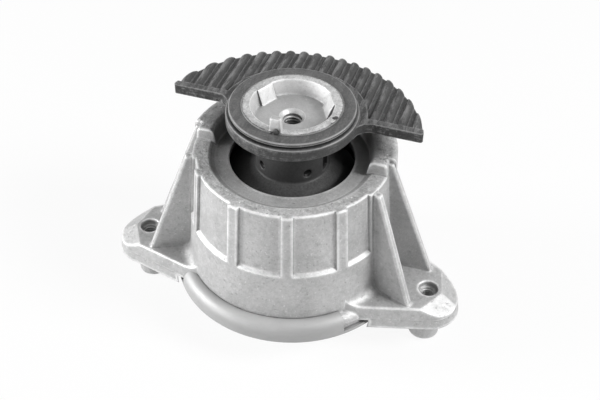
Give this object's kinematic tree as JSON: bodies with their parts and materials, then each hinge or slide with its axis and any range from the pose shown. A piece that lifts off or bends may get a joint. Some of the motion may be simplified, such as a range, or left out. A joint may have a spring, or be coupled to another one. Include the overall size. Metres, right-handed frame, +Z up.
{
  "type": "engine mount",
  "caption": "Hydraulic engine mount: cast bell housing with threaded feet and webs, crimped base cup, and a rubber-sprung threaded core that carries a ribbed buffer cap.",
  "frame": {"origin": "on the mount's axis, at the flat bottom of the base cup", "axes": "+Z up through the core's threaded hole, +X along the line of the feet, -Y towards the side that the feet are offset to"},
  "size_m": [0.1704, 0.1112, 0.1182],
  "materials": {
    "cast_aluminium": "as cast, finely mottled, satin",
    "core_aluminium": "as cast, machined thread and chamfer",
    "cap_rubber": "matt moulded rubber",
    "spring_rubber": "matt moulded rubber",
    "ring_steel": "phosphated steel",
    "channel_plastic": "glass-filled plastic",
    "decoupler_rubber": "plain rubber",
    "bellows_rubber": "thin moulded rubber",
    "sheet_aluminium": "drawn sheet, smooth satin"
  },
  "bodies": {
    "frame": {"housing": "cast_aluminium", "base_cup": "sheet_aluminium", "bellows": "bellows_rubber", "bellows_clamp_ring": "ring_steel", "lower_channel_plate": "channel_plastic", "upper_channel_plate": "channel_plastic", "decoupler_disc": "decoupler_rubber", "spring_outer_ring": "ring_steel", "main_spring": "spring_rubber"},
    "core": {"core": "core_aluminium", "buffer_cap": "cap_rubber"}
  },
  "joints": [
    {"name": "core_travel", "type": "slide", "parent": "frame", "child": "core", "axis": [0, 0, 1], "range_m": [-0.01, 0.006], "stiffness_N_per_m": 200000, "deforming": ["main_spring"]}
  ]
}
